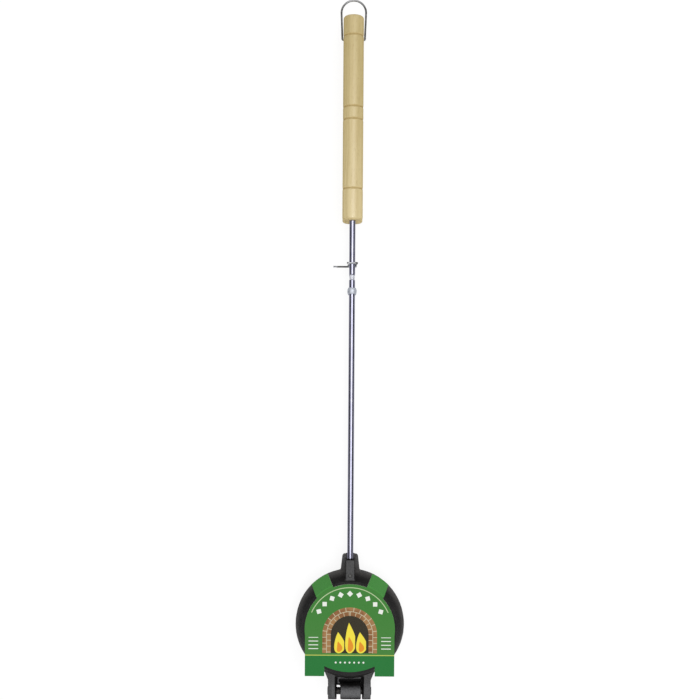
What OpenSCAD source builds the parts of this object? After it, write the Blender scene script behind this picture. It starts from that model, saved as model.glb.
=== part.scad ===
// Hearth broiler: two ridged iron pans hinged face to face, each on a rod with a turned wooden handle.
// It lies flat and closed: +Z up, +Y from the hinge to the handles.
// The origin is in the middle of the lower pan's flat underside, and sizes are in millimetres.
// The upper half is the lower half mirrored in the rim plane, apart from the hinge.

/* [Pans] */
// Depth of one pan, from its flat outside to the rim plane
pan_depth = 20; // [19:0.1:24]
// Radius of the rim's outside
rim_r = 52.8; // [50:0.1:58]
// Radius of the flat outside
flat_r = 44.5; // [42:0.1:47]
// Height of the upright band below the rim
rim_band = 3; // [2:0.1:5]
// Bevel round the flat outside
flat_bevel = 1.2; // [0.6:0.1:2.5]
// Thickness of the wall
wall_t = 4.2; // [3.2:0.1:5.5]
// Thickness of the floor
floor_t = 4.5; // [3.5:0.1:6]
// Bevel between floor and wall inside
hollow_bevel = 2; // [1:0.1:4]
// Gap between the two rims when closed
rim_gap = 0.3; // [0.2:0.05:0.8]

/* [Grill ridges] */
// Distance from one ridge to the next
ridge_pitch = 9; // [7:0.1:12]
// Width of a ridge at the floor
ridge_base = 4.2; // [3:0.1:5.5]
// Width of a ridge at its top
ridge_top = 2.4; // [1.5:0.1:2.9]
// Height of a ridge above the floor
ridge_h = 3; // [2:0.1:5]
// Ridges on each side of the middle one
ridges_per_side = 4; // [2:1:5]
// Width of the grease gutter round the ridges
gutter_w = 4.5; // [2:0.1:8]

/* [Rod socket] */
// Distance from the rim to the socket's mouth
socket_reach = 12.4; // [10:0.1:20]
// Width of the socket's rib
rib_w = 9.1; // [8:0.1:12]
// Iron between the rod's hole and the rib's face
rib_cover = 4.2; // [2:0.1:5]
// Bevel along the rib's face
rib_bevel = 0.8; // [0.5:0.1:1.4]
// How far the tab behind the rib reaches past the mouth
tab_lead = 1.8; // [0:0.1:4]
// Width of the tab at its end
tab_w = 15.4; // [14:0.1:22]
// Extra width of the tab at the pan, each side
tab_flare = 2.5; // [0:0.1:4]
// Thickness of the tab, from the rim plane
tab_t = 6; // [4:0.1:7]
// Cut corner of the tab
tab_corner = 1.4; // [0.6:0.1:3.5]
// Depth of the rod in the socket
socket_depth = 17.6; // [12:0.1:18]
// Radius of the pin that locks the rod
lock_r = 1.4; // [1:0.1:1.8]
// Distance from the rod's end to the lock pin
lock_inset = 2.3; // [2.2:0.1:6]
// How far the lock pin's end lies below the rib's face
lock_sink = 0.4; // [0.1:0.1:1]

/* [Hinge] */
// Distance from the rim to the hinge axis
hinge_reach = 13; // [12:0.1:16]
// Outside radius of the lugs
lug_r = 8.1; // [6:0.1:8.3]
// Half the space between the lugs
lug_inside = 12.2; // [12.1:0.1:16]
// Thickness of a lug
lug_t = 8.6; // [6:0.1:10]
// Slope of a lug's inner side, from the pin up to its top
lug_slope = 2; // [0.5:0.1:3]
// Extra width of a lug where it meets the wall
lug_flare = 3.4; // [0.5:0.1:6]
// Length of that flare
flare_len = 8; // [4:0.1:12]
// Height of a lug's arm above the rim plane at the wall
lug_rise = 9; // [7.5:0.1:11]
// Outside radius of the barrel
barrel_r = 8.1; // [5.5:0.1:8.3]
// Left end of the barrel
barrel_left = -8.9; // [-10:0.1:-5]
// Right end of the barrel
barrel_right = 11.3; // [8:0.1:11.7]
// Gap between a lug and the web's neck
neck_gap = 0.3; // [0.2:0.05:0.6]
// Half the width of the web that carries the barrel
web_half_w = 15.4; // [14:0.1:18]
// Distance from the rim to the web's edge beside the left lug
web_reach = 11.2; // [8:0.1:11.8]
// Drop of the web below the rim plane
web_drop = 9; // [8.5:0.1:10]
// Thickness of the web
web_t = 6; // [4:0.1:8]
// Width of the lip between wall and web
lip_w = 2.2; // [0.5:0.1:3]
// Half the length of the lip
lip_half_l = 11.8; // [8:0.1:11.9]
// Drop of the lip below the rim plane
lip_drop = 1.6; // [0.8:0.1:4]
// Length of the lip's return along the left lug
return_len = 7; // [4:0.1:7.5]
// Width of that return
return_w = 1.5; // [1:0.1:2]
// Radius of the hinge pin
pin_r = 3.4; // [2:0.1:3.5]
// Radius of the hinge pin's peened ends
peen_r = 4.2; // [3.55:0.05:4.5]
// Height of the peened ends
peen_h = 0.5; // [0.3:0.1:1.2]
// Running clearance of the pin in the barrel
pin_clear = 0.08; // [0.03:0.01:0.1]

/* [Rods] */
// Radius of the rods
rod_r = 2.85; // [2.4:0.05:2.9]
// Clearance of fixed round fits
fit_clear = 0.03; // [0.01:0.01:0.06]
// Length of the pan rod between socket and coupling
pan_rod_run = 254.8; // [150:0.1:320]
// Length of the handle rod between thread and handle
handle_rod_run = 52.4; // [35:0.1:90]
// Depth of the handle rod in the handle
tang_len = 80; // [50:1:110]
// Bevel at the rod ends
rod_bevel = 0.7; // [0.3:0.1:1]

/* [Coupling] */
// Largest radius of the bead
bead_r = 4.5; // [3.8:0.1:6]
// Length of the bead
bead_len = 6; // [4:0.1:7]
// Radius of the bead's barrel curve
bead_curve = 5; // [4:0.1:9]
// Length of the plain sleeve
sleeve_len = 7.3; // [5:0.1:12]
// Radius of the threaded studs
stud_r = 2.2; // [1.6:0.05:2.25]
// Length of thread left showing
thread_show = 5.3; // [3:0.1:9]
// Number of thread crests showing
thread_crests = 5; // [3:1:8]
// Height of a thread crest
crest_h = 0.45; // [0.2:0.05:0.5]

/* [Handles] */
// Radius of the handles
handle_r = 9.8; // [9:0.1:11]
// Length of the handles
handle_len = 196; // [130:1:240]
// Gap between the closed handles
handle_gap = 0.4; // [0.3:0.1:1.2]
// Rounding at the handle ends
end_round = 2.4; // [1:0.1:4]
// First scored ring, from the inner end
ring_1 = 30; // [15:0.5:60]
// Second scored ring
ring_2 = 96.5; // [70:0.5:102]
// Third scored ring
ring_3 = 108.5; // [105:0.5:125]
// Last scored ring, from the outer end
ring_4 = 19; // [19:0.5:40]
// Width of a scored ring
ring_w = 2.6; // [1:0.1:3]
// Depth of a scored ring
ring_d = 1; // [0.3:0.1:1.2]

/* [Bail] */
// Radius of the bail's wire
bail_wire_r = 0.9; // [0.7:0.05:1.1]
// Distance from the handle's outer end to the bail's pivot
bail_inset = 15.6; // [12:0.1:17]
// Length from the pivot to the middle of the wire at the top
bail_len = 38.8; // [37.8:0.1:46]
// Radius of the bail's arch
arch_r = 12.1; // [11.9:0.1:13.5]
// Gap between leg and handle
leg_gap = 0.4; // [0.3:0.05:0.8]
// Bend radius at the pivots
bail_bend = 1.15; // [1.12:0.01:1.2]
// Depth of a pivot in the handle
bail_pin_depth = 5.5; // [3:0.1:7]
// Running clearance of the pivots
bail_clear = 0.07; // [0.03:0.01:0.1]

/* [Clasp] */
// Radius of the clasp's wire
clasp_wire_r = 0.8; // [0.6:0.05:1]
// Distance from the handle rod's shoulder to the clasp
clasp_shift = 10.4; // [5:0.1:25]
// Running clearance of the coil on the rod
coil_clear = 0.06; // [0.03:0.01:0.1]
// Spacing of the coil's turns
coil_pitch = 1.3; // [1.1:0.05:1.4]
// Lean of the leg away from the rods
leg_lean = 2.8; // [1.5:0.1:5]
// Gap between the bar and the upper rod
bar_gap = 0.85; // [0.4:0.05:2]
// Bend radius between leg and bar
clasp_bend = 1.8; // [1.2:0.1:2.2]
// How far the bar reaches past the rod's middle
bar_reach = 5; // [3.5:0.1:8]
// Length of the finger tail
tail_len = 15.2; // [8:0.1:16.5]
// Length of the tail's turned-up tip
tip_len = 3.6; // [2:0.1:4]
// Angle of the tail's turned-up tip
tip_turn = 25; // [10:1:45]

/* [Card] */
// Thickness of the card
card_t = 0.5; // [0.3:0.05:0.8]
// Gap between card and pan
card_gap = 0.3; // [0.2:0.05:0.6]
// Radius of the card's round part
card_r = 43; // [38:0.1:44]
// Half the width of the card's square part
card_half_w = 42.6; // [34:0.1:43]
// Distance from the middle to the card's lower edge
card_drop = 44.6; // [42:0.1:48]
// Half the width of the notch at the hinge
notch_half_w = 24; // [20:0.1:28]
// Distance from the middle to the notch's curved edge
notch_drop = 40.6; // [36:0.1:41.5]
// Radius of the notch's curved edge
notch_r = 54.2; // [48:0.1:65]
// Angle between an arm and the rods
arm_angle = 34; // [28:0.5:45]
// Width of an arm
arm_w = 18.8; // [10:0.1:22]
// Height of an arm's lower edge above the rim band
arm_lift = 0.2; // [0:0.1:4]

/* [Hidden] */
$fn = 96;
// Overlap that joins the pieces of one casting
weld = 1;
// Overlap of straight wire into a bend, and the bend's extra radius
lap = 0.1;
swell = 0.03;
iron = [0.17, 0.17, 0.17];
plated = [0.8, 0.8, 0.83];
wood = [0.83, 0.75, 0.58];
wire = [0.45, 0.45, 0.46];
green = [0.25, 0.5, 0.28];

rim_z = pan_depth - rim_gap / 2;
wall_rise = pan_depth - rim_band;
wall_run = rim_r - flat_r;
hollow_r = flat_r + wall_run * floor_t / wall_rise - wall_t;
ridge_field_r = hollow_r - gutter_w;

rod_z = pan_depth - handle_r - handle_gap / 2;
upper_rod_z = 2 * pan_depth - rod_z;
rod_hole_r = rod_r + fit_clear;
stud_hole_r = stud_r + fit_clear;
rib_z = rod_z - rod_hole_r - rib_cover;
mouth_y = rim_r + socket_reach;
rod_end_y = mouth_y - socket_depth;
lock_y = rod_end_y + lock_inset;

hinge_y = -rim_r - hinge_reach;
lug_outside = lug_inside + lug_t;

coupling_y = mouth_y + pan_rod_run;
coupling_len = bead_len + sleeve_len;
shoulder_y = coupling_y + coupling_len + thread_show;
handle_y = shoulder_y + handle_rod_run;
clasp_y = shoulder_y + clasp_shift;

bail_y = handle_y + handle_len - bail_inset;
leg_x = handle_r + leg_gap + bail_wire_r;
arch_y = bail_len - arch_r;
leg_slant = atan2(arch_y, leg_x) - acos(arch_r / norm([leg_x, arch_y]));
leg_len = sqrt(leg_x ^ 2 + arch_y ^ 2 - arch_r ^ 2);
bend_x = leg_x - bail_bend * (1 - sin(leg_slant)) / cos(leg_slant);
bend_used = bail_bend * (1 - sin(leg_slant)) / cos(leg_slant);

coil_r = rod_r + coil_clear + clasp_wire_r;
bar_rise = upper_rod_z - rod_z + rod_r + bar_gap + clasp_wire_r;
bend_rise = bar_rise - clasp_bend * (1 - sin(leg_lean));
bend_out = coil_r / cos(leg_lean) + bend_rise * tan(leg_lean);

card_z = 2 * pan_depth + card_gap;
wall_tilt = atan2(wall_run, wall_rise);
card_fold = tan((90 - wall_tilt) / 2);
arm_end_z = pan_depth + rim_band + arm_lift;

// Upper half: mirrored in the rim plane
module mirrored() {
    translate([0, 0, 2 * pan_depth]) mirror([0, 0, 1]) children();
}

// Stands what is drawn along Z along the rods instead
module along_rods(y) {
    translate([0, y, rod_z]) rotate([-90, 0, 0]) children();
}

// Pushes a side view, drawn in Y and Z, from one X to another
module across(x_from, x_to) {
    translate([x_from, 0, 0]) rotate([90, 0, 90]) linear_extrude(x_to - x_from) children();
}

// Round bar between two stations along Z
module bar(r, from, to) {
    translate([0, 0, from]) cylinder(r = r, h = to - from);
}

// Pan

module pan_outside() {
    bevel_r = flat_r + wall_run * flat_bevel / wall_rise;
    rotate_extrude() polygon([
        [0, 0], [flat_r - flat_bevel, 0], [bevel_r, flat_bevel],
        [rim_r, wall_rise], [rim_r, rim_z], [0, rim_z]
    ]);
}

module pan_hollow() {
    bevel_z = floor_t + hollow_bevel;
    bevel_r = flat_r + wall_run * bevel_z / wall_rise - wall_t;
    rotate_extrude() polygon([
        [0, floor_t], [hollow_r - hollow_bevel, floor_t], [bevel_r, bevel_z],
        [rim_r - wall_t, wall_rise], [rim_r - wall_t, pan_depth], [0, pan_depth]
    ]);
}

module grill_ridges() {
    intersection() {
        bar(ridge_field_r, floor_t - weld, floor_t + ridge_h);
        for (i = [-ridges_per_side : ridges_per_side]) {
            translate([i * ridge_pitch, ridge_field_r, 0])
                rotate([90, 0, 0])
                linear_extrude(2 * ridge_field_r)
                polygon([
                    [-ridge_base / 2, floor_t - weld], [ridge_base / 2, floor_t - weld],
                    [ridge_base / 2, floor_t], [ridge_top / 2, floor_t + ridge_h],
                    [-ridge_top / 2, floor_t + ridge_h], [-ridge_base / 2, floor_t]
                ]);
        }
    }
}

module socket_outside() {
    half_rib = rib_w / 2;
    half_tab = tab_w / 2;
    tab_y = mouth_y + tab_lead;
    translate([0, mouth_y, 0])
        rotate([90, 0, 0])
        linear_extrude(mouth_y - flat_r + weld)
        polygon([
            [-half_rib, rim_z - weld], [-half_rib, rib_z + rib_bevel], [-half_rib + rib_bevel, rib_z],
            [half_rib - rib_bevel, rib_z], [half_rib, rib_z + rib_bevel], [half_rib, rim_z - weld]
        ]);
    translate([0, 0, rim_z - tab_t])
        linear_extrude(tab_t)
        polygon([
            [-half_tab - tab_flare, flat_r], [-half_tab, tab_y - tab_corner],
            [-half_tab + tab_corner, tab_y], [half_tab - tab_corner, tab_y],
            [half_tab, tab_y - tab_corner], [half_tab + tab_flare, flat_r]
        ]);
}

module socket_holes() {
    along_rods(rod_end_y) bar(rod_hole_r, 0, socket_depth + weld);
    translate([0, lock_y, 0]) bar(lock_r + fit_clear, rib_z - weld, rod_z);
}

module lower_pan() {
    color(iron) {
        difference() {
            union() {
                pan_outside();
                socket_outside();
                hinge_barrel();
            }
            pan_hollow();
            socket_holes();
            across(barrel_left - weld, barrel_right + weld)
                translate([hinge_y, pan_depth]) circle(pin_r + pin_clear);
        }
        grill_ridges();
    }
}

module upper_pan() {
    color(iron) {
        difference() {
            union() {
                mirrored() pan_outside();
                mirrored() socket_outside();
                hinge_lug();
                mirror([1, 0, 0]) hinge_lug();
            }
            mirrored() pan_hollow();
            mirrored() socket_holes();
            across(-lug_outside - weld, lug_outside + weld)
                translate([hinge_y, pan_depth]) circle(pin_r + fit_clear);
        }
        mirrored() grill_ridges();
    }
}

// Hinge

module hinge_barrel() {
    web_z = pan_depth - web_drop;
    foot_z = web_z - web_t / 2;
    lip_z = pan_depth - lip_drop;
    across(barrel_left, barrel_right) translate([hinge_y, pan_depth]) circle(barrel_r);
    across(barrel_left, lug_inside - neck_gap) polygon([
        [-flat_r, web_z], [hinge_y + barrel_r, web_z],
        [hinge_y + barrel_r / 2, pan_depth - barrel_r / 2], [hinge_y, pan_depth - barrel_r / 2],
        [hinge_y, foot_z], [-flat_r, web_z - web_t]
    ]);
    difference() {
        across(-web_half_w, web_half_w) polygon([
            [hinge_y, web_z], [-flat_r, web_z], [-flat_r, web_z - web_t], [hinge_y, foot_z]
        ]);
        across(-web_half_w - weld, barrel_left)
            translate([hinge_y - weld, 0]) square([hinge_reach - web_reach + weld, pan_depth]);
    }
    across(-lip_half_l, lip_half_l)
        translate([-rim_r - lip_w, web_z - weld]) square([rim_r + lip_w - flat_r, lip_z - web_z + weld]);
    across(-lip_half_l, -lip_half_l + return_w)
        translate([-rim_r - return_len, web_z - weld]) square([return_len, lip_z - web_z + weld]);
}

module hinge_lug() {
    arm_z = pan_depth + rim_gap / 2;
    top_z = pan_depth + lug_rise;
    intersection() {
        across(0, lug_outside + lug_flare) {
            translate([hinge_y, pan_depth]) circle(lug_r);
            polygon([
                [hinge_y, arm_z], [hinge_y, pan_depth + lug_r], [-flat_r, top_z], [-flat_r, arm_z]
            ]);
        }
        union() {
            rotate([90, 0, 0]) linear_extrude(2 * rim_r) polygon([
                [lug_inside, 0], [lug_outside, 0], [lug_outside, top_z],
                [lug_inside + lug_slope, top_z], [lug_inside, pan_depth + pin_r]
            ]);
            linear_extrude(top_z) polygon([
                [lug_outside - weld, -flat_r - flare_len], [lug_outside, -flat_r - flare_len],
                [lug_outside + lug_flare, -flat_r], [lug_outside - weld, -flat_r]
            ]);
        }
    }
}

module hinge_pin() {
    color(plated) translate([0, hinge_y, pan_depth]) rotate([0, 90, 0]) {
        bar(pin_r, -lug_outside - peen_h, lug_outside + peen_h);
        translate([0, 0, lug_outside]) cylinder(r1 = peen_r, r2 = pin_r, h = peen_h);
        translate([0, 0, -lug_outside - peen_h]) cylinder(r1 = pin_r, r2 = peen_r, h = peen_h);
    }
}

// One half's rods, coupling and handle

module socket_pin() {
    color(plated) translate([0, lock_y, 0]) bar(lock_r, rib_z + lock_sink, rod_z - fit_clear);
}

module pan_rod() {
    color(plated) difference() {
        along_rods(0) {
            translate([0, 0, rod_end_y + fit_clear])
                cylinder(r1 = rod_r - rod_bevel, r2 = rod_r, h = rod_bevel);
            bar(rod_r, rod_end_y + fit_clear + rod_bevel, coupling_y - fit_clear);
            bar(stud_r, coupling_y - weld, coupling_y + bead_len - fit_clear);
        }
        translate([0, lock_y, 0]) bar(lock_r + fit_clear, rib_z, rod_z);
    }
}

module coupling() {
    color(plated) along_rods(coupling_y) rotate_extrude() difference() {
        union() {
            intersection() {
                translate([bead_r - bead_curve, bead_len / 2]) circle(bead_curve);
                square([bead_r, bead_len]);
            }
            square([rod_r, coupling_len]);
        }
        square([stud_hole_r, coupling_len]);
    }
}

module handle_rod() {
    crest_pitch = thread_show / thread_crests;
    root_r = stud_r;
    color(plated) along_rods(shoulder_y) {
        bar(root_r, -thread_show - sleeve_len + fit_clear, weld);
        rotate_extrude() polygon([
            [0, -thread_show + fit_clear], [root_r, -thread_show + fit_clear],
            for (i = [0 : thread_crests - 1]) each [
                [root_r + crest_h, -thread_show + (i + 0.5) * crest_pitch],
                [root_r, -thread_show + (i + 1) * crest_pitch]
            ],
            [rod_r - rod_bevel / 2, 0], [rod_r, rod_bevel], [rod_r, handle_rod_run + tang_len - rod_bevel],
            [rod_r - rod_bevel, handle_rod_run + tang_len], [0, handle_rod_run + tang_len]
        ]);
    }
}

module handle() {
    flat_end_r = handle_r - end_round;
    color(wood) along_rods(handle_y) difference() {
        rotate_extrude() difference() {
            union() {
                square([flat_end_r, handle_len]);
                translate([0, end_round]) square([handle_r, handle_len - 2 * end_round]);
                for (at = [end_round, handle_len - end_round]) translate([flat_end_r, at]) circle(end_round);
            }
            for (at = [ring_1, ring_2, ring_3, handle_len - ring_4]) polygon([
                [handle_r - ring_d, at], [handle_r + ring_d, at + ring_w], [handle_r + ring_d, at - ring_w]
            ]);
        }
        bar(rod_hole_r, -weld, tang_len + fit_clear);
    }
}

module lower_handle() {
    hole_from = handle_r - bail_pin_depth - fit_clear;
    color(wood) difference() {
        handle();
        translate([0, bail_y, rod_z]) rotate([0, 90, 0]) {
            bar(bail_wire_r + bail_clear, hole_from, handle_r + weld);
            bar(bail_wire_r + bail_clear, -handle_r - weld, -hole_from);
        }
    }
}

module lower_socket_pin() socket_pin();
module lower_pan_rod() pan_rod();
module lower_coupling() coupling();
module lower_handle_rod() handle_rod();
module upper_socket_pin() mirrored() socket_pin();
module upper_pan_rod() mirrored() pan_rod();
module upper_coupling() mirrored() coupling();
module upper_handle_rod() mirrored() handle_rod();
module upper_handle() mirrored() handle();

// Bail: drawn flat, with the pivot line on X

module bail_side() {
    rotate([0, 90, 0]) bar(bail_wire_r, handle_r - bail_pin_depth, bend_x + lap);
    translate([bend_x, bail_bend, 0])
        rotate([0, 0, -90])
        rotate_extrude(angle = 90 - leg_slant) translate([bail_bend, 0]) circle(bail_wire_r + swell);
    translate([leg_x, 0, 0])
        rotate([0, 0, -leg_slant])
        rotate([-90, 0, 0])
        bar(bail_wire_r, bend_used - lap, leg_len + lap);
}

module wire_bail() {
    color(wire) translate([0, bail_y, rod_z]) {
        bail_side();
        mirror([1, 0, 0]) bail_side();
        translate([0, arch_y, 0])
            rotate([0, 0, -leg_slant])
            rotate_extrude(angle = 180 + 2 * leg_slant) translate([arch_r, 0]) circle(bail_wire_r + swell);
    }
}

// Clasp: drawn upright in X and Y, then stood across the rods

module clasp_turn() {
    rotate_extrude() translate([coil_r + swell, 0]) circle(clasp_wire_r + swell);
}

module clasp_hook() {
    clasp_turn();
    rotate([0, 0, -leg_lean])
        translate([coil_r, 0, 0])
        rotate([-90, 0, 0])
        bar(clasp_wire_r, 0, bend_rise / cos(leg_lean) + coil_r * tan(leg_lean) + lap);
    translate([bend_out - clasp_bend * cos(leg_lean), bar_rise - clasp_bend, 0])
        rotate([0, 0, -leg_lean])
        rotate_extrude(angle = 90 + leg_lean) translate([clasp_bend, 0]) circle(clasp_wire_r + swell);
    translate([bend_out - clasp_bend * cos(leg_lean), bar_rise, 0])
        rotate([0, -90, 0])
        bar(clasp_wire_r, -lap, bend_out - clasp_bend * cos(leg_lean) + bar_reach);
}

module clasp_tail() {
    clasp_turn();
    translate([0, -coil_r, 0]) rotate([0, -90, 0]) bar(clasp_wire_r, 0, tail_len);
    translate([-tail_len, -coil_r, 0]) {
        sphere(clasp_wire_r + swell);
        rotate([0, 0, -tip_turn]) rotate([0, -90, 0]) bar(clasp_wire_r, 0, tip_len);
    }
}

module rod_clasp() {
    color(wire) translate([0, clasp_y, rod_z]) rotate([90, 0, 0]) {
        translate([0, 0, -coil_pitch / 2]) clasp_hook();
        translate([0, 0, coil_pitch / 2]) clasp_tail();
    }
}

// Card

module card_arm() {
    fold_r = flat_r + card_gap * card_fold;
    fall = card_z - arm_end_z;
    outer_fold_r = fold_r + card_t * card_fold;
    intersection() {
        rotate_extrude() polygon([
            [card_r - weld, card_z], [fold_r, card_z], [fold_r + fall * wall_run / wall_rise, arm_end_z],
            [outer_fold_r + (fall + card_t) * wall_run / wall_rise, arm_end_z],
            [outer_fold_r, card_z + card_t], [card_r - weld, card_z + card_t]
        ]);
        linear_extrude(2 * card_z) translate([-arm_w / 2, 0]) square([arm_w, 2 * rim_r]);
    }
}

module display_card() {
    color(green) {
        translate([0, 0, card_z]) linear_extrude(card_t) difference() {
            union() {
                circle(card_r);
                translate([-card_half_w, -card_drop]) square([2 * card_half_w, card_drop]);
            }
            difference() {
                translate([-notch_half_w, -card_drop - weld]) square([2 * notch_half_w, card_drop / 2]);
                translate([0, notch_r - notch_drop]) circle(notch_r);
            }
        }
        rotate([0, 0, arm_angle]) card_arm();
        rotate([0, 0, -arm_angle]) card_arm();
    }
}

lower_pan();
lower_socket_pin();
lower_pan_rod();
lower_coupling();
lower_handle_rod();
lower_handle();
upper_pan();
upper_socket_pin();
upper_pan_rod();
upper_coupling();
upper_handle_rod();
upper_handle();
hinge_pin();
wire_bail();
rod_clasp();
display_card();
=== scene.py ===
"""Looks of the hearth broiler: finishes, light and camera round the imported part.

The frame is the part's own: +Z up, +Y from the hinge to the handles, the origin in the middle of
the lower pan's underside. Lengths here are millimetres until they reach Blender, which takes metres.
"""

import math

import bpy
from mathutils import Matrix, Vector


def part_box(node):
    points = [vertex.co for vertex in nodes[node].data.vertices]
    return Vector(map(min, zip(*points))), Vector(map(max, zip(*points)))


MM = 0.001

# Screw joint, as in the part's source
BEAD_LEN = 6.0
THREAD_LEN = 5.3

# Photograph: a straight-down view, 700 pixels wide and high
IMAGE_PX = 700
FOCAL_PX = 934.0
SENSOR = 36.0
CAMERA_AT = (-1.55, 266.1, 930.0)
CAMERA_ROLL = math.radians(0.385)
NEAREST = 10.0
FARTHEST = 60000.0

WHITE = (1.0, 1.0, 1.0, 1.0)


def linear(red, green, blue):
    """A colour as it is read off a screen, 0 to 255, as Blender's linear RGBA."""

    def channel(value):
        value /= 255
        return value / 12.92 if value <= 0.04045 else ((value + 0.055) / 1.055) ** 2.4

    return (channel(red), channel(green), channel(blue), 1.0)


class Signal:
    """A socket in a finish. Arithmetic on it adds Math nodes."""

    def __init__(self, finish, socket):
        self.finish = finish
        self.socket = socket

    def other(self, name):
        """Another output of the same node."""
        return Signal(self.finish, self.socket.node.outputs[name])

    def maths(self, operation, *terms):
        return self.finish.node("ShaderNodeMath", {"operation": operation}, dict(enumerate(terms)))

    def __add__(self, other):
        return self.maths("ADD", self, other)

    def __radd__(self, other):
        return self.maths("ADD", other, self)

    def __sub__(self, other):
        return self.maths("SUBTRACT", self, other)

    def __rsub__(self, other):
        return self.maths("SUBTRACT", other, self)

    def __mul__(self, other):
        return self.maths("MULTIPLY", self, other)

    def __rmul__(self, other):
        return self.maths("MULTIPLY", other, self)

    def __truediv__(self, other):
        return self.maths("DIVIDE", self, other)

    def __neg__(self):
        return self.maths("MULTIPLY", self, -1.0)

    def __abs__(self):
        return self.maths("ABSOLUTE", self)

    def __mod__(self, other):
        return self.maths("FLOORED_MODULO", self, other)

    def __gt__(self, other):
        return self.maths("GREATER_THAN", self, other)

    def __lt__(self, other):
        return self.maths("LESS_THAN", self, other)

    def least(self, other):
        return self.maths("MINIMUM", self, other)

    def most(self, other):
        return self.maths("MAXIMUM", self, other)

    def root(self):
        return self.maths("SQRT", self)

    def sine(self):
        return self.maths("SINE", self)

    def rounded(self):
        return self.maths("ROUND", self)

    def bearing(self, across):
        """Angle of the point that lies this high and so far across."""
        return self.maths("ARCTAN2", self, across)


class Finish:
    """The nodes of a material or of the room round the object."""

    def __init__(self, owner):
        self.owner = owner
        owner.use_nodes = True
        self.tree = owner.node_tree
        self.tree.nodes.clear()

    def node(self, kind, settings=None, sockets=None, out=0):
        """Adds a node: its settings first, then its sockets' values or links. Gives one output."""
        made = self.tree.nodes.new(kind)
        for name, value in (settings or {}).items():
            setattr(made, name, value)
        for name, value in (sockets or {}).items():
            if isinstance(value, Signal):
                self.tree.links.new(value.socket, made.inputs[name])
            else:
                made.inputs[name].default_value = value
        return Signal(self, made.outputs[out]) if made.outputs else None

    def place(self):
        """Where a point is on the part at rest, in millimetres."""
        at = self.node("ShaderNodeTexCoord", out="Object")
        return self.stretch(at, (1 / MM, 1 / MM, 1 / MM))

    def stretch(self, vector, factors):
        return self.node("ShaderNodeVectorMath", {"operation": "MULTIPLY"}, {0: vector, 1: factors})

    def parts(self, vector):
        """The x, y and z of a vector."""
        split = self.node("ShaderNodeSeparateXYZ", {}, {0: vector})
        return [split.other(axis) for axis in "XYZ"]

    def facing(self):
        """The x, y and z of the surface's own direction on the part at rest."""
        across = self.node("ShaderNodeNewGeometry", out="Normal")
        turn = {"vector_type": "NORMAL", "convert_from": "WORLD", "convert_to": "OBJECT"}
        return self.parts(self.node("ShaderNodeVectorTransform", turn, {0: across}))

    def noise(self, vector, scale, detail=2.0, rough=0.5):
        sockets = {"Vector": vector, "Scale": scale, "Detail": detail, "Roughness": rough}
        return self.node("ShaderNodeTexNoise", {}, sockets)

    def fade(self, value, low, high):
        """0 below low, 1 above high, and a smooth step between."""
        sockets = {"Value": value, "From Min": low, "From Max": high}
        return self.node("ShaderNodeMapRange", {"interpolation_type": "SMOOTHSTEP"}, sockets)

    def mix(self, share, first, second):
        """Colour from first to second as share goes from 0 to 1."""
        return self.node("ShaderNodeMix", {"data_type": "RGBA"}, {0: share, 6: first, 7: second}, out=2)

    def bump(self, height, depth, over=None):
        """A surface raised by depth in millimetres where height is 1."""
        sockets = {"Height": height, "Distance": depth * MM}
        if over:
            sockets["Normal"] = over
        return self.node("ShaderNodeBump", {}, sockets)

    def seen(self):
        """1 where the camera, a mirror or glass looks at this, and 0 for light that only bounces."""
        path = self.node("ShaderNodeLightPath")
        straight = path.other("Is Camera Ray")
        return straight.most(path.other("Is Glossy Ray")).most(path.other("Is Transmission Ray"))

    def done(self, sockets):
        shader = self.node("ShaderNodeBsdfPrincipled", {}, sockets)
        self.node("ShaderNodeOutputMaterial", {}, {"Surface": shader})
        return self.owner


def new_finish(name):
    return Finish(bpy.data.materials.new(name))


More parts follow.
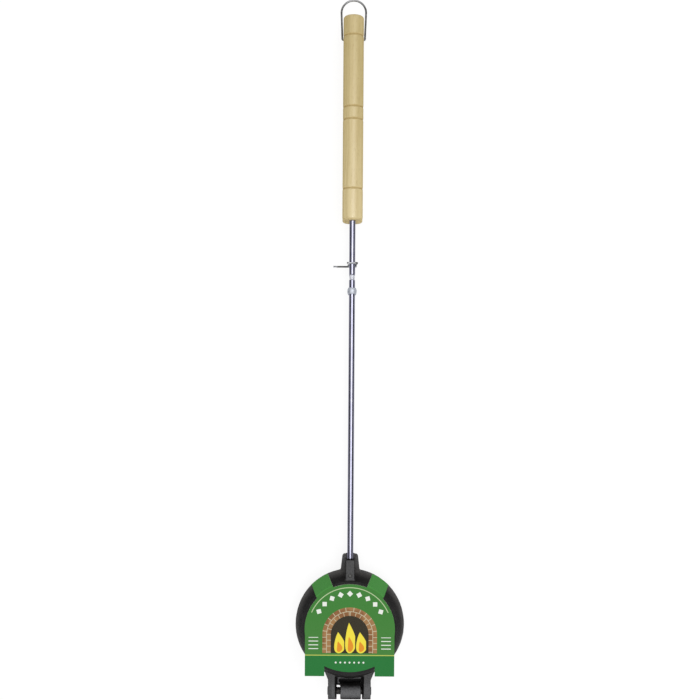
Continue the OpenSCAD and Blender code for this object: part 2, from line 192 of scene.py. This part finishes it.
def cast_iron(rim_r, rim_z):
    """Sand-cast iron under thin blacking, rubbed paler on the socket ribs and tabs and round the hinge, with
    painted highlights round the hinge and on the lip and painted shade in recesses, on the walls and at the
    tabs' feet.
    """
    f = new_finish("cast_iron")
    place = f.place()
    x, y, z = f.parts(place)
    _, along, up = f.facing()
    sand = f.noise(place, 1.3, detail=5.0, rough=0.65)
    blotch = f.noise(place, 0.12, detail=3.0)
    tint = f.noise(place, 0.3, detail=2.0)
    grit = f.node("ShaderNodeTexVoronoi", {}, {"Vector": place, "Scale": 0.8})

    # Places on both castings: distances from the pans' middle, and levels up or down from the rim
    level = abs(z - rim_z)
    hinge_from = (rim_r + 1.2, rim_r + 7.2)
    hinge_shade_from = (rim_r - 8.8, rim_r - 2.8)
    ledge_from = rim_r + 0.2
    tab_foot = (rim_r + 0.2, rim_r + 8.2)
    tab_level = (7.0, 10.0)
    wall_level = (2.0, 13.0)
    flat_level = (rim_z - 2.0, rim_z - 0.7)
    lip_level = 4.0
    barrel_half_w = 12.0
    left_flank = (16.6, 17.6)

    # Outward faces are rubbed paler; the rest keep the dark blacking, which also stands as painted shade in
    # recesses and on side faces. A flat outside stays dark, and a tab close to the wall gets painted shade
    hinge = f.fade(-y, *hinge_from)
    barrel = hinge * (abs(x) < barrel_half_w)
    outward = up * ((z > rim_z) * 2 - 1) + along * barrel * 0.06 - barrel * 0.12
    rub_and_shade = f.fade(outward + (sand - 0.5) * 0.5, 0.45, 1.0)
    rub_and_shade = rub_and_shade * (1 - f.fade(level, *flat_level) * 0.8)
    # Painted shade on a tab close to the wall
    tab_shade = (y > 0.0) * (1 - f.fade(y, *tab_foot)) * (1 - f.fade(level, *tab_level))
    rub_and_shade = rub_and_shade * (1 - tab_shade)

    # Round the hinge the iron is worn and carries a painted highlight, most on the barrel; the left lug's
    # outer flank gets painted shade, the lip's upper edge a painted highlight, and deeper ledge faces a dark
    # grey
    hinge_wear_light_shade = hinge * 0.35 + barrel * 0.42 - hinge * f.fade(-x, *left_flank) * 0.3
    ledge = (z < rim_z) * (-y > ledge_from) * f.fade(up, 0.5, 0.9)
    ledge_highlight_tone = f.mix(level < lip_level, linear(42, 42, 43), linear(100, 100, 102))

    # Painted shade: walls are blackest away from the rim and by the hinge, and carry a painted sheen by the
    # rim
    wall_shade = f.fade(level, *wall_level).most(f.fade(-y, *hinge_shade_from))
    patch = f.fade(blotch, 0.35, 0.65)
    rim_sheen = f.mix(f.fade(tint, 0.5, 0.75) * 0.6, linear(84, 83, 82), linear(86, 76, 72))
    shade_black = f.mix(patch, linear(14, 13, 13), linear(26, 24, 24))
    wall = f.mix(wall_shade, f.mix(patch * 0.5, rim_sheen, linear(58, 56, 55)), shade_black)
    flat = f.mix(f.fade(sand, 0.3, 0.7), linear(68, 68, 68), linear(92, 92, 93))
    flat = f.mix(hinge_wear_light_shade, flat, linear(118, 118, 120))
    colour = f.mix(rub_and_shade, wall, flat)
    colour = f.mix(ledge * 0.9, colour, ledge_highlight_tone)
    pits = 1 - f.fade(grit, 0.1, 0.4)
    colour = f.mix(pits * 0.5, colour, linear(20, 19, 19))
    grain = f.bump(sand - pits * 0.35, 0.22)
    return f.done(
        {
            "Base Color": colour,
            "Roughness": 0.56 + sand * 0.2,
            "Specular IOR Level": 0.12,
            "Normal": f.bump(blotch, 0.5, over=grain),
        }
    )


def bright_plate(bead, thread):
    """Bright plating on drawn rod, with faint lines along it; the bead and the thread are frosted."""
    f = new_finish("bright_plate")
    place = f.place()
    _, y, _ = f.parts(place)
    lines = f.noise(f.stretch(place, (5.0, 0.02, 5.0)), 1.0, detail=2.0)
    turning = f.noise(f.stretch(place, (0.3, 9.0, 0.3)), 1.0, detail=2.0)
    cloud = f.noise(place, 0.08, detail=3.0)
    specks = f.noise(place, 1.5, detail=1.0)

    def within(stretch):
        low, high = stretch
        return (y > low) * (y < high)

    on_bead = within(bead)
    on_thread = within(thread)
    colour = f.mix(f.fade(cloud, 0.35, 0.65), linear(134, 134, 151), linear(146, 146, 162))
    colour = f.mix(f.fade(specks, 0.68, 0.75) * 0.2, colour, linear(104, 104, 110))
    colour = f.mix(on_thread, colour, linear(232, 233, 238))
    colour = f.mix(on_bead, colour, f.mix(turning, linear(194, 198, 207), linear(212, 216, 223)))
    rod_rough = 0.1 + lines * 0.1 + f.fade(cloud, 0.5, 0.8) * 0.06
    return f.done(
        {
            "Base Color": colour,
            "Metallic": 1.0,
            "Roughness": rod_rough + on_thread * 0.45 + on_bead * 0.5,
            "Specular Tint": (0.25, 0.25, 0.32, 1.0),
            "Normal": f.bump(lines, 0.01),
        }
    )


def pin_steel(name, light, dark):
    """Bare steel pins with hammered ends, stained darker in places."""
    f = new_finish(name)
    place = f.place()
    dents = f.noise(place, 0.7, detail=3.0)
    stain = f.noise(place, 0.35, detail=4.0)
    colour = f.mix(f.fade(stain, 0.4, 0.65), light, dark)
    return f.done(
        {
            "Base Color": colour,
            "Metallic": 1.0,
            "Roughness": 0.45 + dents * 0.25,
            "Normal": f.bump(dents, 0.18),
        }
    )


def bail_rub_and_highlight(f, _, y):
    """How far the bail is rubbed and carries a painted highlight: a little, at its top where it hangs."""
    _, end = span("wire_bail", "y")
    return f.fade(y, end - 9.0, end - 1.0) * 0.2


def clasp_rub_and_highlights(f, x, y):
    """How far the clasp is rubbed and carries painted highlights: most at its finger tip, some round the
    rods, and not at the hook's end.
    """
    tip, _ = span("rod_clasp", "x")
    _, hook = span("rod_clasp", "y")
    finger_tip = 1 - f.fade(x, tip + 3.0, tip + 4.6)
    hook_end = f.fade(x, 2.4, 3.4) * (y > hook - 1.4)
    round_rods = f.fade(x, -4.6, -3.2) * (1 - hook_end)
    return finger_tip * 0.8 + round_rods * 0.45


def drawn_wire(name, light, dark, rub_and_highlight):
    """Zinc-plated wire in two dull tones, brighter where it is rubbed and where a highlight is painted."""
    f = new_finish(name)
    place = f.place()
    x, y, _ = f.parts(place)
    cloud = f.noise(place, 0.5, detail=3.0)
    lines = f.noise(f.stretch(place, (4.0, 0.1, 4.0)), 1.0)
    colour = f.mix(f.fade(cloud, 0.35, 0.65), light, dark)
    colour = f.mix(rub_and_highlight(f, x, y), colour, linear(226, 228, 232))
    return f.done(
        {
            "Base Color": colour,
            "Metallic": 1.0,
            "Roughness": 0.3 + cloud * 0.2,
            "Specular Tint": (0.4, 0.4, 0.4, 1.0),
            "Normal": f.bump(lines, 0.02),
        }
    )


def turned_wood(handle, pith):
    """Pale close-grained hardwood, palest by the rod and on its ends, whose end faces get painted light, with
    sealer worn off its sides.
    """
    inner_y, _ = span(handle, "y")
    low_x, high_x = span(handle, "x")
    low_z, high_z = span(handle, "z")
    handle_r = (high_x - low_x) / 2
    score_depth = 0.9
    skin_depth = 0.1
    pale_len = 130.0
    ring_pitch = 2.417
    ring_wander = 9.0

    f = new_finish("wood_" + handle)
    place = f.place()
    x, y, z = f.parts(place)
    _, along, up = f.facing()
    rise = z - (low_z + high_z) / 2
    radius = (x * x + rise * rise).root()
    wander = f.noise(f.stretch(place, (0.06, 0.008, 0.06)), 1.0, detail=2.0)
    pith_x, pith_z = pith
    ring_r = ((x - pith_x) * (x - pith_x) + (rise - pith_z) * (rise - pith_z)).root()
    rings = ((ring_r + wander * ring_wander) * (math.tau / ring_pitch)).sine() * 0.5 + 0.5
    fibre = f.noise(f.stretch(place, (2.2, 0.05, 2.2)), 1.0, detail=4.0, rough=0.6)
    pores = f.fade(f.noise(f.stretch(place, (5.0, 0.22, 5.0)), 1.0, detail=1.0), 0.62, 0.72)
    cloud = f.noise(f.stretch(place, (0.05, 0.015, 0.05)), 1.0, detail=2.0)
    scored = 1 - f.fade(radius, handle_r - score_depth, handle_r - skin_depth)
    pale = 1 - f.fade(y, inner_y, inner_y + pale_len)
    end = f.fade(abs(along), 0.5, 0.9)
    sealed = f.fade(abs(up), 0.5, 0.95)

    colour = f.mix(f.fade(cloud, 0.3, 0.7), linear(203, 184, 131), linear(212, 193, 141))
    colour = f.mix(pale * 0.7, colour, linear(233, 215, 166))
    colour = f.mix(rings * 0.3, colour, linear(190, 167, 112))
    colour = f.mix(f.fade(fibre, 0.5, 0.75) * 0.45, colour, linear(184, 160, 105))
    colour = f.mix(pores * 0.45, colour, linear(160, 132, 82))
    colour = f.mix(scored * 0.6, colour, linear(158, 131, 78))
    # Painted light on the end faces, over their end-grain rings
    colour = f.mix(end * 0.85, colour, f.mix(rings, linear(242, 222, 169), linear(228, 206, 153)))
    return f.done(
        {
            "Base Color": colour,
            "Roughness": 0.42 + fibre * 0.16,
            "Specular IOR Level": 0.0,
            "Coat Weight": sealed * (1 - scored * 0.5),
            "Coat Roughness": 0.3,
            "Coat IOR": 1.6,
            "Normal": f.bump(fibre - pores * 0.6, 0.06),
        }
    )


def card_hearth(f, place, colour):
    """Draws the card's hearth: two rings of bricks round an arched opening, with three flames in it."""
    x, y, _ = f.parts(place)
    opening_r = 18.0
    arch_r = 26.0
    spring_y = -5.0
    hearth_y = -22.6
    brick_len = 5.6
    joint = 0.6
    course_r = (opening_r + arch_r) / 2
    above = (y - spring_y).most(0.0)
    reach = (x * x + above * above).root()
    run = above.bearing(abs(x)) * course_r + (y - spring_y).least(0.0)
    stagger = (reach > course_r) * (brick_len / 2)
    mortar = (((run + stagger) % brick_len) < joint).most(abs(reach - course_r) < joint / 2)
    brick = f.mix(f.fade(f.noise(place, 0.11), 0.4, 0.6), linear(166, 124, 82), linear(140, 94, 60))
    brick = f.mix(mortar * 0.9, brick, linear(206, 198, 168))
    standing = y > hearth_y
    colour = f.mix((reach < arch_r) * standing, colour, brick)
    colour = f.mix((reach < opening_r) * standing, colour, linear(52, 42, 34))

    # Each flame has a warmer heart, and the tallest stands in the middle
    flame_pitch = 10.4
    flame_h = 29.0
    flame_fall = 9.0
    flame_fullness = 13.4
    flames_aside = 1
    sway_w = 0.9
    sway_turn = 4.0
    heart_size = 0.5
    heart_lift = 1.2
    cell = (x / flame_pitch).rounded()
    local = x - cell * flame_pitch
    height = flame_h - flame_fall * abs(cell)

    def flame(size, foot):
        rise = ((y - foot) / (height * size)).most(0.0).least(1.0)
        sway = (rise * sway_turn).sine() * sway_w
        half_w = rise.root() * (1 - rise) * (flame_fullness * size)
        return (abs(local - sway) < half_w) * (abs(cell) < flames_aside + 0.5)

    colour = f.mix(flame(1.0, hearth_y), colour, linear(247, 228, 72))
    return f.mix(flame(heart_size, hearth_y + heart_lift), colour, linear(232, 150, 44))


def card_ornament(f, place, colour):
    """Draws lozenges and a thin line arched over the hearth, short rules beside it and dots under it."""
    x, y, _ = f.parts(place)
    radius = (x * x + y * y).root()

    lozenge_ring_r = 34.0
    lozenge_step = math.radians(15)
    lozenge_half = 2.9
    lozenge_from_y = 13.0
    turn = y.bearing(x) / lozenge_step
    along = (turn - turn.rounded()) * (lozenge_step * lozenge_ring_r)
    lozenges = (abs(along) + abs(radius - lozenge_ring_r) < lozenge_half) * (y > lozenge_from_y)

    line_r = 39.8
    line_half_w = 0.4
    line_from_y = 16.0
    line = (abs(radius - line_r) < line_half_w) * (y > line_from_y)

    rule_x = 34.6
    rule_half_len = 4.6
    rule_pitch = 3.6
    rule_w = 0.8
    top_rule_y = -8.0
    rules_y = -13.8
    rules_half_h = 6.4
    rules = (abs(abs(x) - rule_x) < rule_half_len) * (abs(y - rules_y) < rules_half_h)
    rules = rules * (((y - top_rule_y) % rule_pitch) < rule_w)

    dot_pitch = 4.4
    dot_r = 0.9
    dots_y = -31.5
    dots_half_len = 15.0
    dot_x = (x + dot_pitch / 2) % dot_pitch - dot_pitch / 2
    dot_y = y - dots_y
    dots = ((dot_x * dot_x + dot_y * dot_y).root() < dot_r) * (abs(x) < dots_half_len)

    colour = f.mix(lozenges.most(rules).most(dots), colour, linear(240, 243, 236))
    return f.mix(line * 0.9, colour, linear(196, 214, 170))


def printed_card():
    """Printed card: a green field with a hearth and ornaments, a white cut edge and bare board behind."""
    f = new_finish("printed_card")
    place = f.place()
    x, y, _ = f.parts(place)
    _, _, up = f.facing()
    screen = f.noise(place, 2.5, detail=2.0)
    fibre = f.noise(f.stretch(place, (1.0, 3.0, 1.0)), 1.2, detail=4.0)
    cloud = f.noise(place, 0.05, detail=2.0)
    radius = (x * x + y * y).root()

    # Field, with painted light on the folded arms against their shade, and a deeper band under a thin bright
    # rule
    field_y = (-22.0, 30.0)
    field_drift = 8.0
    fold_r = (43.6, 44.6)
    band_y = -24.6
    band_rule_half_w = 0.45
    colour = f.mix(f.fade(y + cloud * field_drift, *field_y), linear(71, 130, 60), linear(64, 128, 56))
    # Painted light on the folded arms
    colour = f.mix(f.fade(radius, *fold_r) * (y > 0.0), colour, linear(70, 142, 64))
    colour = f.mix(y < band_y, colour, linear(38, 118, 56))
    colour = f.mix(abs(y - band_y) < band_rule_half_w, colour, linear(190, 200, 96))
    colour = card_hearth(f, place, colour)
    colour = card_ornament(f, place, colour)

    # Print grain, cut edge and back
    colour = f.mix(f.fade(screen, 0.45, 0.75) * 0.12, colour, linear(150, 190, 140))
    felted = f.fade(fibre, 0.35, 0.65)
    board = f.mix(felted, linear(168, 160, 146), linear(146, 136, 120))
    edge = f.mix(felted, linear(236, 234, 226), linear(214, 210, 198))
    colour = f.mix(f.fade(up, 0.2, 0.35), edge, colour)
    colour = f.mix(f.fade(-up, 0.2, 0.35), colour, board)
    return f.done(
        {
            "Base Color": colour,
            "Roughness": 0.5 + fibre * 0.12,
            "Specular IOR Level": 0.1,
            "Normal": f.bump(fibre, 0.03),
        }
    )


def pale_floor():
    """White floor: what looks at it sees it lifted to white, with the object's soft shadow kept."""
    lift = 0.8
    f = new_finish("pale_floor")
    paper = f.node("ShaderNodeBsdfDiffuse", {}, {"Color": (0.9, 0.9, 0.9, 1.0)})
    glow = f.node("ShaderNodeEmission", {}, {"Color": WHITE, "Strength": 1.08})
    shown = f.node("ShaderNodeMixShader", {}, {0: f.seen() * lift, 1: paper, 2: glow})
    f.node("ShaderNodeOutputMaterial", {}, {"Surface": shown})
    return f.owner


def flag_black():
    """Dull black for the cards that stand beside the object."""
    return new_finish("flag_black").done({"Base Color": (0.02, 0.02, 0.022, 1.0), "Roughness": 0.9})


def span(name, axis):
    """Where a CAD node starts and ends along an axis, in millimetres."""
    low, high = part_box(name)
    return getattr(low, axis) / MM, getattr(high, axis) / MM


def dress(material, *names):
    """Gives CAD nodes a finish."""
    for name in names:
        slots = nodes[name].data.materials
        slots.clear()
        slots.append(material)


def soften_casting(name):
    """Rounds a casting's corners and makes its skin uneven, always inwards."""
    voxel = 0.65
    sand_size = 3.0
    sand_depth = 0.25
    casting = nodes[name]
    skin = casting.modifiers.new("skin", "REMESH")
    skin.mode = "VOXEL"
    skin.voxel_size = voxel * MM
    skin.use_smooth_shade = True
    rounding = casting.modifiers.new("rounding", "SMOOTH")
    rounding.factor = 0.5
    rounding.iterations = 4
    sand = bpy.data.textures.new(name + "_sand", "CLOUDS")
    sand.noise_scale = sand_size * MM
    sand.noise_depth = 2
    waves = casting.modifiers.new("waves", "DISPLACE")
    waves.texture = sand
    waves.texture_coords = "LOCAL"
    waves.strength = sand_depth * MM
    waves.mid_level = 1.0


def sheet(name, corners, material):
    """A flat piece of the stage."""
    mesh = bpy.data.meshes.new(name)
    mesh.from_pydata([tuple(v * MM for v in corner) for corner in corners], [], [(0, 1, 2, 3)])
    mesh.materials.append(material)
    made = bpy.data.objects.new(name, mesh)
    bpy.context.scene.collection.objects.link(made)
    return made


def stage_floor():
    """A floor out to the horizon, a hair under the part so that the two never share a plane."""
    half = 12000.0
    drop = 0.1
    corners = [(-half, -half, -drop), (half, -half, -drop), (half, half, -drop), (-half, half, -drop)]
    sheet("floor", corners, pale_floor())


def stage_flags():
    """Dark cards along both sides for the dark lines in the plating. Only reflections show them."""
    aside = 430.0
    height = 430.0
    near_y = -350.0
    far_y = 900.0
    black = flag_black()
    for name, x in (("flag_left", -aside), ("flag_right", aside)):
        corners = [(x, near_y, 0.0), (x, far_y, 0.0), (x, far_y, height), (x, near_y, height)]
        flag = sheet(name, corners, black)
        flag.visible_camera = False
        flag.visible_diffuse = False
        flag.visible_shadow = False


def stage_light():
    """One broad lamp overhead, a little to the right, and an even, pale room."""
    lamp_across = 1400.0
    lamp_at = (250.0, 270.0, 1600.0)
    lamp_watts = 14.5
    fill_strength = 0.5
    backdrop_strength = 1.0

    lamp = bpy.data.lights.new("overhead", "AREA")
    lamp.shape = "DISK"
    lamp.size = lamp_across * MM
    lamp.energy = lamp_watts
    lamp_object = bpy.data.objects.new("overhead", lamp)
    lamp_object.location = [v * MM for v in lamp_at]
    lamp_object.visible_camera = False
    bpy.context.scene.collection.objects.link(lamp_object)

    room = Finish(bpy.data.worlds.new("room"))
    fill = room.node("ShaderNodeBackground", {}, {"Color": WHITE, "Strength": fill_strength})
    backdrop = room.node("ShaderNodeBackground", {}, {"Color": WHITE, "Strength": backdrop_strength})
    shown = room.node("ShaderNodeMixShader", {}, {0: room.seen(), 1: fill, 2: backdrop})
    room.node("ShaderNodeOutputWorld", {}, {"Surface": shown})
    bpy.context.scene.world = room.owner


def stage_camera():
    """Looks straight down, from where the photograph was taken."""
    lens = bpy.data.cameras.new("camera")
    lens.sensor_width = SENSOR
    lens.lens = FOCAL_PX / IMAGE_PX * SENSOR
    lens.clip_start = NEAREST * MM
    lens.clip_end = FARTHEST * MM
    camera = bpy.data.objects.new("camera", lens)
    camera.location = [v * MM for v in CAMERA_AT]
    camera.rotation_euler = (0.0, 0.0, CAMERA_ROLL)
    bpy.context.scene.collection.objects.link(camera)
    bpy.context.scene.camera = camera


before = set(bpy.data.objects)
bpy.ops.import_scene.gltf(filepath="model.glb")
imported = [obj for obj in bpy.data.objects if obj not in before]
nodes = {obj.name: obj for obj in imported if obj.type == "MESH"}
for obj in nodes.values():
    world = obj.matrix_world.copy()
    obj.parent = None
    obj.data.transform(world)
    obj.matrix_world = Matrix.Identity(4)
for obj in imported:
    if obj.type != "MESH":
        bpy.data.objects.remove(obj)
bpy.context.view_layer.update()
_, rim_r = span("upper_pan", "x")
rim_z = sum(span("hinge_pin", "z")) / 2
bead_y, thread_y = span("upper_coupling", "y")

stage_camera()
stage_light()
stage_floor()
stage_flags()

plate = bright_plate((bead_y, bead_y + BEAD_LEN), (thread_y, thread_y + THREAD_LEN))
rods = ["lower_pan_rod", "lower_handle_rod", "upper_pan_rod", "upper_handle_rod"]
dress(plate, *rods, "lower_coupling", "upper_coupling")
dress(cast_iron(rim_r, rim_z), "lower_pan", "upper_pan")
# The hinge pin's steel is darker than the lock pins': painted shade of the gap it sits in
dress(pin_steel("shaded_hinge_steel", linear(56, 55, 54), linear(36, 34, 33)), "hinge_pin")
lock_steel = pin_steel("lock_steel", linear(86, 86, 85), linear(66, 66, 65))
dress(lock_steel, "lower_socket_pin", "upper_socket_pin")

# The heart of the log lies outside each handle, this far across and up from its axis
piths = {"lower_handle": (17.0, 9.0), "upper_handle": (-8.0, -21.0)}
for handle, pith in piths.items():
    dress(turned_wood(handle, pith), handle)

dress(drawn_wire("bail_wire", linear(116, 116, 115), linear(88, 87, 86), bail_rub_and_highlight), "wire_bail")
dress(drawn_wire("clasp_wire", linear(84, 84, 83), linear(62, 61, 60), clasp_rub_and_highlights), "rod_clasp")
dress(printed_card(), "display_card")
for pan in ("lower_pan", "upper_pan"):
    soften_casting(pan)

bpy.context.scene.view_settings.view_transform = "Standard"
